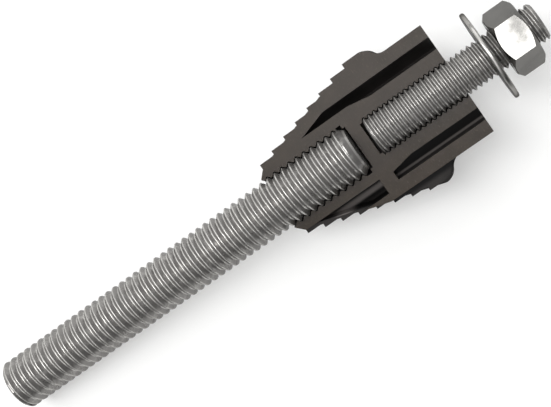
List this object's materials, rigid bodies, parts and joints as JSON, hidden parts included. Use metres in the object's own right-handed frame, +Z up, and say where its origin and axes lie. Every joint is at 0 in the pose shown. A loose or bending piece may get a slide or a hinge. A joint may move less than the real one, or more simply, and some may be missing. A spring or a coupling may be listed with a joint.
{
  "type": "stand-off anchor",
  "caption": "Anchor for insulated walls, shown as a cut sample: a threaded rod and a smaller stud meet in a half-cut plastic cone with stepped fins; the stud carries a washer and a hex nut.",
  "frame": {"origin": "centre of the cone's flat end face, on the anchor's axis", "axes": "+X from the rod towards the stud, level; the anchor's axis rises 6 degrees from it towards +Z, as it lies; +Z up, out of the cut face; +Y to the left of +X"},
  "size_m": [0.1858, 0.0446, 0.0393],
  "materials": {
    "rod_steel": "bright zinc-plated rolled thread",
    "cone_plastic": "warm dark grey glass-fibre plastic, sawn and milled on the cut face",
    "stud_steel": "bright rolled thread",
    "washer_steel": "bright stamped steel",
    "nut_steel": "bright steel"
  },
  "bodies": {
    "anchor": {"threaded_rod": "rod_steel", "insulating_cone": "cone_plastic", "threaded_stud": "stud_steel"},
    "loose_washer": {"washer": "washer_steel"},
    "turning_nut": {"hex_nut": "nut_steel"}
  },
  "joints": [
    {"name": "washer_travel", "type": "slide", "parent": "anchor", "child": "loose_washer", "axis": [0.9946, 0, 0.1036], "range_m": [-0.01005, 0.00404]},
    {"name": "nut_turn", "type": "hinge", "parent": "loose_washer", "child": "turning_nut", "pos_m": [0.01885, 0, 0.00196], "axis": [0.9946, 0, 0.1036], "range_deg": [-2067, 830]}
  ],
  "couplings": [
    {"joint": "washer_travel", "follows": "nut_turn", "m_per_rad": 0.00027852}
  ]
}
